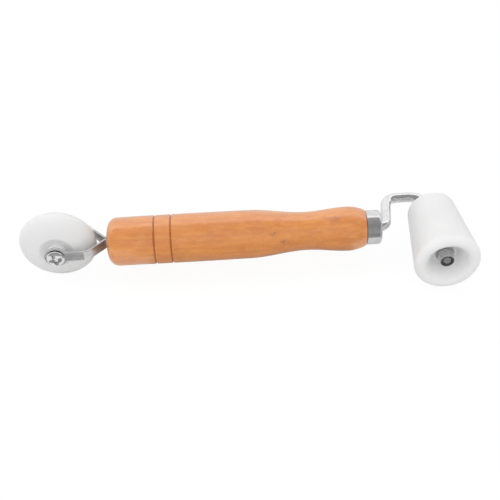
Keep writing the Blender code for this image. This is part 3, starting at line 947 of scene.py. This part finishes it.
def build_screw():
    """Pan-head screw with a cross recess and a rolled thread at its far end."""
    seat = span("fork_arm_front", WHEEL_AXLE)[1]
    end = span("wheel_axle_screw", WHEEL_AXLE)[0]
    thread_start = -FORK_HALF_GAP + STRIP_THICKNESS
    dome = []
    for angle in stations(math.pi / 2, 0, DOME_STATIONS):
        bulge = HEAD_HEIGHT - HEAD_SKIRT
        height = seat + HEAD_SKIRT + bulge * math.sin(angle) ** DOME_POWER
        dome.append((height, HEAD_RADIUS * max(0.0, math.cos(angle)) ** DOME_POWER))
    dome[0] = (dome[0][0], 0)
    skirt = [
        dome[-1],
        (seat, HEAD_RADIUS),
        (seat, THREAD_RADIUS),
        (thread_start, THREAD_RADIUS),
    ]
    profile = refined(dome, 0.2 * MM) + rounded(skirt, (0, 0.15 * MM, 0.2 * MM, 0))[1:]
    profile += thread_rows(thread_start, end + THREAD_CHAMFER)[1:]
    profile += thread_tip(end + THREAD_CHAMFER, end)
    cut_thread = threaded(end + THREAD_CHAMFER, thread_start)
    mesh = as_mesh("screw", loft(profile, AROUND_THREAD, reshape=cut_thread))
    mesh = cut(mesh, cross_punch(seat + HEAD_HEIGHT))
    # the dark band round the head's skirt is painted shade: the dark ring where the head sits on the
    # arm
    foot = ("Z", (seat + HEAD_SKIRT / 2) / MM, 0.3, 0.85)
    look = plated_steel("screw_steel", grey(0.86), 0.12, (3, 3, 3), 0.3, grime_and_shade=foot)
    place = axle_frame(WHEEL_AXLE, TO_FRONT)
    show("pan_head_screw", mesh, place, look, "handle_frame", "wheel_axle_screw")


def hex_reshape(height, radius, angle):
    """Holds the nut's outside to a hexagon, where the turned blank stands past it."""
    if radius < NUT_HALF_FLATS * 0.98 or height > NUT_HEX_HEIGHT:
        return radius
    sixth = math.pi / 3
    from_flat = (angle + sixth / 2) % sixth - sixth / 2
    return min(radius, NUT_HALF_FLATS / math.cos(from_flat))


def nut_profile():
    """Base, chamfered hexagon, shoulder, rolled collar, nylon's seat and bore, from the base up."""
    corner = NUT_HALF_FLATS / math.cos(math.pi / 6) * 0.985
    bore = THREAD_RADIUS + 0.05 * MM
    seat = NYLON_RADIUS + 0.03 * MM
    seat_floor = NUT_HEIGHT - NYLON_HEIGHT - 0.2 * MM
    hexagon_side = [
        (0, NUT_HALF_FLATS * 0.96),
        (NUT_CHAMFER, corner),
        (NUT_HEX_HEIGHT - NUT_CHAMFER, corner),
        (NUT_HEX_HEIGHT, NUT_SHOULDER_RADIUS),
    ]
    collar = [
        (NUT_HEX_HEIGHT, NUT_SHOULDER_RADIUS),
        (NUT_HEX_HEIGHT, NUT_COLLAR_RADIUS),
        (NUT_HEIGHT, NUT_COLLAR_RADIUS - 0.05 * MM),
        (NUT_HEIGHT, seat),
        (seat_floor, seat),
        (seat_floor, bore),
        (0, bore + 0.25 * MM),
    ]
    radii = (0, 0.04 * MM, 0.22 * MM, 0.12 * MM, 0, 0, 0)
    outline = refined(hexagon_side, 0.06 * MM)[:-1] + rounded(collar, radii)
    return refined(outline, 0.4 * MM, closed=True)


def build_lock_nut(nut_piece, ring_piece, nut_node, ring_node, base, pointing):
    look = turned_steel(nut_piece + "_steel", grey(0.80), 0.2)
    place = axle_frame(base, pointing)
    mesh = as_mesh(nut_piece, loft(nut_profile(), AROUND_SMALL, reshape=hex_reshape))
    show(nut_piece, mesh, place, look, "handle_frame", nut_node)
    top = NUT_HEIGHT - NYLON_SINK
    bottom = NUT_HEIGHT - NYLON_HEIGHT
    inner = THREAD_RADIUS + 0.02 * MM
    corners = [(top, inner), (top, NYLON_RADIUS), (bottom, NYLON_RADIUS), (bottom, inner)]
    outline = rounded(corners, (0.25 * MM, 0.2 * MM, 0.05 * MM, 0.05 * MM))
    mesh = as_mesh(ring_piece, loft(refined(outline, 0.25 * MM, closed=True), AROUND_SMALL))
    look = dark_nylon(ring_piece + "_nylon")
    show(ring_piece, mesh, place, look, "handle_frame", ring_node)


def build_ring(name, node, axle, radii, heights, edge, look):
    """A washer or sleeve. Punching rounds its upper outer edge and leaves the others crisp."""
    inner, outer = radii
    bottom, top = heights
    corners = [(top, inner), (top, outer), (bottom, outer), (bottom, inner)]
    outline = rounded(corners, (edge * 0.5, edge, edge * 0.3, edge * 0.3))
    mesh = as_mesh(name, loft(refined(outline, 0.5 * MM, closed=True), AROUND_SMALL))
    show(name, mesh, axle_frame(axle, TO_FRONT), look, "handle_frame", node)


def washer_steel(name):
    return turned_steel(name + "_steel", colour(0.70, 0.70, 0.71), 0.22)


def build_thrust_washer(name, node, axle, running_on):
    """A thin washer beside a roller, round the sleeve or the rod that the roller runs on."""
    radii = (running_on + RING_FIT, WASHER_RADIUS)
    build_ring(name, node, axle, radii, span(node, axle), THIN_WASHER_EDGE, washer_steel(name))


def build_wheel_axle():
    inside = FORK_HALF_GAP - STRIP_THICKNESS / 2
    outside = FORK_HALF_GAP + STRIP_THICKNESS / 2
    look = turned_steel("sleeve_steel", colour(0.66, 0.66, 0.67), 0.22)
    radii = (THREAD_RADIUS + 0.1 * MM, SLEEVE_RADIUS)
    heights = (-inside, inside)
    build_ring("spacer_sleeve", "wheel_axle_sleeve", WHEEL_AXLE, radii, heights, WASHER_EDGE, look)
    for side in ("front", "rear"):
        node = "wheel_thrust_washer_" + side
        build_thrust_washer("thrust_washer_" + side, node, WHEEL_AXLE, SLEEVE_RADIUS)
    look = washer_steel("wheel_nut_washer")
    radii = (WASHER_HOLE, WASHER_RADIUS)
    rear = -outside - WASHER_THICKNESS
    heights = (rear, -outside)
    build_ring("nut_washer_wheel", "wheel_nut_washer", WHEEL_AXLE, radii, heights, WASHER_EDGE, look)
    names = ("lock_nut_wheel", "nylon_ring_wheel", "wheel_lock_nut", "wheel_nut_nylon_ring")
    build_lock_nut(*names, WHEEL_AXLE - TO_FRONT * -rear, TO_REAR)
    build_screw()


# ---------------------------------------------------------------- the rollers


def build_wheel():
    """Lens-shaped wheel, dished round its hub."""
    rim = math.asin(DISH_RIM_HEIGHT / WHEEL_HALF_AXIS)
    tread = [
        Vector((WHEEL_HALF_AXIS * math.sin(angle), WHEEL_RADIUS * math.cos(angle)))
        for angle in stations(rim, -rim, TREAD_STATIONS)
    ]
    bore = SLEEVE_RADIUS + RUNNING_PLAY
    corners = [
        (0, bore),
        (HUB_HALF_LENGTH, bore),
        (HUB_HALF_LENGTH, HUB_RADIUS),
        (DISH_FLOOR_HEIGHT, HUB_RADIUS),
        (DISH_FLOOR_HEIGHT, DISH_FLOOR_RADIUS),
        (DISH_RIM_HEIGHT, tread[0].y),
        tuple(tread[TREAD_JOIN]),
    ]
    radii = (0, 0.3 * MM, 0.3 * MM, 0.35 * MM, 0.8 * MM, DISH_RIM_ROUND, 0)
    front = refined(rounded(corners, radii), 0.4 * MM)[1:-1]
    rear = [Vector((-point.x, point.y)) for point in reversed(front)]
    profile = front + tread[TREAD_JOIN:-TREAD_JOIN] + rear
    mesh = as_mesh("wheel", loft(profile, AROUND_BIG))
    look = white_plastic("wheel_plastic", grey(0.81), wear_start=15.0, wear_end=18.6)
    place = axle_frame(WHEEL_AXLE, TO_FRONT)
    show("lens_wheel", mesh, place, look, "wheel", "convex_wheel")


def build_cone():
    """Tapered roller with a funnel-shaped recess for the nut in its large end."""
    bore = ROD_RADIUS + RUNNING_PLAY
    corners = [
        (RECESS_FLOOR, bore),
        (RECESS_FLOOR, RECESS_FLOOR_RADIUS),
        (RECESS_LIP, RECESS_LIP_RADIUS),
        (CONE_FRONT, FLARE_RADIUS),
        (CONE_FRONT, CONE_FRONT_RADIUS),
        (CONE_BACK, CONE_BACK_RADIUS),
        (CONE_BACK, bore),
    ]
    radii = (
        0.3 * MM,
        RECESS_FLOOR_ROUND,
        RECESS_LIP_ROUND,
        FLARE_ROUND,
        CONE_FRONT_ROUND,
        CONE_BACK_ROUND,
        0.3 * MM,
    )
    profile = refined(rounded(corners, radii), 0.6 * MM, closed=True)
    mesh = as_mesh("cone", loft(profile, AROUND_BIG))
    look = white_plastic("roller_plastic", grey(0.84), wear_start=10.5, wear_end=16.5)
    place = axle_frame(CONE_AXLE, TO_FRONT)
    show("tapered_roller", mesh, place, look, "cone", "cone_roller")


def build_rod():
    """The cranked rod: tang, bends, stop collar and straight axle with its threaded end."""
    shoulder = RECESS_FLOOR + SIDE_PLAY
    end = shoulder + WASHER_THICKNESS + NUT_HEIGHT - THREAD_INSET
    path = rounded([(ROD_START, 0.0), *ROD_CORNERS, (CONE_X, -end)], (0, *ROD_BENDS, 0))
    spine = Spine(refined(path, 1 * MM))

    def along(height):
        return spine.length - (end - height)

    collar = along(span("cone_thrust_washer", CONE_AXLE)[0] - SIDE_PLAY)
    collar_back = collar - STOP_COLLAR_WIDTH
    thread_start, thread_end = along(shoulder), along(end)
    corners = [
        (0, 0),
        (0, ROD_RADIUS),
        (collar_back, ROD_RADIUS),
        (collar_back, STOP_COLLAR_RADIUS),
        (collar, STOP_COLLAR_RADIUS),
        (collar, ROD_RADIUS),
        (thread_start, ROD_RADIUS),
        (thread_start, THREAD_RADIUS),
        (thread_end - THREAD_CHAMFER, THREAD_RADIUS),
    ]
    radii = (0, 0.5 * MM, 0.4 * MM, 0.3 * MM, 0.2 * MM, 0.1 * MM, 0.3 * MM, 0.1 * MM, 0)
    profile = refined(rounded(corners, radii)[:-1], 0.5 * MM)
    profile += thread_rows(thread_start + 0.2 * MM, thread_end - THREAD_CHAMFER)
    profile += thread_tip(thread_end - THREAD_CHAMFER, thread_end)
    cut_thread = threaded(thread_start + 0.2 * MM, thread_end - THREAD_CHAMFER)
    mesh = as_mesh("rod", loft(profile, AROUND_ROD, spine=spine, reshape=cut_thread))
    tip = ("Z", thread_end / MM, 0.5, 0.25)
    look = plated_steel("rod_steel", grey(0.77), 0.12, (2.2, 2.2, 0.06), 0.35, 0.15, tip)
    place = Matrix.Translation(GRIP_START)
    show("cranked_rod", mesh, place, look, "handle_frame", "roller_rod")


def build_cone_hardware():
    build_thrust_washer("thrust_washer_cone", "cone_thrust_washer", CONE_AXLE, ROD_RADIUS)
    look = washer_steel("cone_nut_washer")
    radii = (WASHER_HOLE, WASHER_RADIUS)
    bottom = RECESS_FLOOR + SIDE_PLAY
    heights = (bottom, bottom + WASHER_THICKNESS)
    build_ring("nut_washer_cone", "cone_nut_washer", CONE_AXLE, radii, heights, WASHER_EDGE, look)
    names = ("lock_nut_cone", "nylon_ring_cone", "cone_lock_nut", "cone_nut_nylon_ring")
    build_lock_nut(*names, CONE_AXLE + TO_FRONT * heights[1], TO_FRONT)


# ---------------------------------------------------------------- studio and camera

CAMERA_ELEVATION = math.radians(42.0)
CAMERA_HEADING = math.radians(1.13)
CAMERA_ROLL = math.radians(2.5)
CAMERA_DISTANCE = 410.4 * MM
CAMERA_TARGET = Vector((68.1, -5.15, -5.75)) * MM  # from the start of the grip's axis
CAMERA_SENSOR = 36.0
CAMERA_LENS = 60.83
FLOOR_HALF_SIZE = 4.0
FLOOR_MOTTLE = 6.0
FLOOR_DARK = 0.69
FLOOR_PALE = 0.73
FLOOR_WASH = 0.88
FLOOR_WASH_IN_MIRRORS = 0.5
FLOOR_GLOW = 1.05
AMBIENT = 1.02

# Grey cards that only mirrors see: middle, half sizes and brightness. The first stands on the
# floor in front of the grip, the second lies on it in front of the fork, and the third lies
# under the grip.
# The two lying cards are painted shadow: they stand for the floor's shade under the fork and the
# grip, as the steel and the varnish mirror it.
CARDS = (
    (Vector((122.0, -37.0, 10.5)) * MM, Vector((178.0, 0.0, 10.5)) * MM, 0.33),
    (Vector((-93.0, -30.5, 0.1)) * MM, Vector((13.0, 7.5, 0.0)) * MM, 0.33),
    (Vector((4.0, -16.0, 0.1)) * MM, Vector((51.0, 21.0, 0.0)) * MM, 0.40),
)


def build_camera():
    data = bpy.data.cameras.new("camera")
    data.sensor_width = CAMERA_SENSOR
    data.lens = CAMERA_LENS
    data.clip_start = 10 * MM
    data.clip_end = 20.0
    camera = helper("camera", data)
    target = GRIP_START + CAMERA_TARGET
    aim = Matrix.Rotation(-CAMERA_HEADING, 4, "Z")
    aim = aim @ Matrix.Rotation(math.pi / 2 - CAMERA_ELEVATION, 4, "X")
    aim = aim @ Matrix.Rotation(-CAMERA_ROLL, 4, "Z")
    camera.matrix_world = Matrix.Translation(target + aim @ Vector((0, 0, CAMERA_DISTANCE))) @ aim
    bpy.context.scene.camera = camera


def build_floor():
    shape = bmesh.new()
    bmesh.ops.create_grid(shape, x_segments=8, y_segments=8, size=FLOOR_HALF_SIZE)
    floor = helper("floor", as_mesh("floor", shape))
    floor.location = (0, 0, cad_box[0].z)
    look = Look("pale_floor")
    mottle = look.add("ShaderNodeTexNoise", {"Scale": FLOOR_MOTTLE}).outputs["Fac"]
    shades = {"Value": mottle, "To Min": FLOOR_DARK, "To Max": FLOOR_PALE}
    shade = look.add("ShaderNodeMapRange", shades).outputs[0]
    look.set(Base_Color=shade, Roughness=0.8, Specular_IOR_Level=0.1)
    # the camera and mirrors see the floor washed out by light, so that shadows stay faint
    ray = look.add("ShaderNodeLightPath").outputs
    wash = look.add("ShaderNodeEmission", {"Strength": FLOOR_GLOW})
    mirrored = look.math("MULTIPLY", ray["Is Glossy Ray"], FLOOR_WASH_IN_MIRRORS)
    seen = look.math("MULTIPLY", ray["Is Camera Ray"], FLOOR_WASH)
    share = look.math("ADD", seen, mirrored)
    look.surface("Material Output", look.shared(share, look.shader, wash))
    floor.data.materials.append(look.material)


# What mirrors see round the grip's axis: (angle from straight up towards the front, brightness)
ROOM = (
    (-180, 0.9),
    (-92, 0.9),
    (-83, 1.1),
    (-31, 1.1),
    (-28, 1.8),
    (-22, 1.8),
    (-18, 0.44),
    (41, 0.31),
    (75, 0.38),
    (90, 0.44),
    (180, 0.9),
)


def build_world():
    """White to the camera, and an even light on everything. Mirrors see a bright sweep behind
    and above the tool, and a darker room in front of it."""
    world = bpy.data.worlds.new("studio")
    bpy.context.scene.world = world
    world.use_nodes = True
    sky = Nodes(world.node_tree)
    direction = sky.add("ShaderNodeTexCoord").outputs["Generated"]
    forward = sky.math("MULTIPLY", sky.part(direction, "Y"), -1.0)
    angle = sky.math("ARCTAN2", forward, sky.part(direction, "Z"))
    turn = {"Value": angle, "From Min": -math.pi, "From Max": math.pi}
    ramp = sky.add("ShaderNodeValToRGB", {"Fac": sky.add("ShaderNodeMapRange", turn).outputs[0]})
    brightest = max(level for _, level in ROOM)
    elements = ramp.color_ramp.elements
    for i, (degrees, level) in enumerate(ROOM):
        place = degrees / 360 + 0.5
        stop = elements[i] if i < 2 else elements.new(place)
        stop.position = place
        stop.color = grey(level / brightest)
    room = sky.tree.nodes["Background"]
    sky.feed(room.inputs["Color"], ramp.outputs["Color"])
    sky.feed(room.inputs["Strength"], brightest)
    even = sky.add("ShaderNodeBackground", {"Strength": AMBIENT})
    white = sky.add("ShaderNodeBackground", {"Color": grey(1)})
    ray = sky.add("ShaderNodeLightPath").outputs
    lit = sky.shared(ray["Is Glossy Ray"], even, room)
    sky.surface("World Output", sky.shared(ray["Is Camera Ray"], lit, white))


# Broad soft lamps: name, place and size in metres, and power in watts
LAMPS = (
    ("key", (-0.35, 0.10, 0.80), 0.5, 1.15),
    ("fill", (0.02, -0.62, 0.52), 0.6, 1.4),
)


def build_lights():
    """The lamps, which mirrors don't show."""
    for name, place, size, power in LAMPS:
        data = bpy.data.lights.new(name, "AREA")
        data.size = size
        data.energy = power
        lamp = helper(name, data)
        lamp.location = place
        lamp.rotation_mode = "QUATERNION"
        lamp.rotation_quaternion = (-Vector(place)).to_track_quat("-Z", "Y")
        lamp.visible_glossy = False


def build_cards():
    """Grey cards that only mirrors see. They give the steel its darker bands."""
    for number, (middle, half_size, level) in enumerate(CARDS):
        shape = bmesh.new()
        bmesh.ops.create_grid(shape, x_segments=1, y_segments=1, size=1.0)
        for vertex in shape.verts:
            upright = half_size.z > 0
            across = half_size.z if upright else half_size.y
            way = UP if upright else TO_REAR
            vertex.co = Vector((vertex.co.x * half_size.x, 0, 0)) + way * vertex.co.y * across
        name = f"card_{number}"
        card = helper(name, as_mesh(name, shape))
        card.location = Vector((0, GRIP_START.y, cad_box[0].z)) + middle
        look = Look(name)
        look.set(Base_Color=grey(0), Specular_IOR_Level=0.0)
        look.set(Emission_Color=grey(1), Emission_Strength=level)
        card.data.materials.append(look.material)
        for rays in ("camera", "diffuse", "shadow", "transmission"):
            setattr(card, "visible_" + rays, False)


build_grip()
build_ferrule()
build_fork_arm("front_arm", "fork_arm_front", -1)
build_fork_arm("rear_arm", "fork_arm_rear", 1)
build_wheel()
build_wheel_axle()
build_rod()
build_cone()
build_cone_hardware()
build_floor()
build_cards()
build_world()
build_lights()
build_camera()

view = bpy.context.scene.view_settings
view.view_transform = "Standard"
view.look = "None"
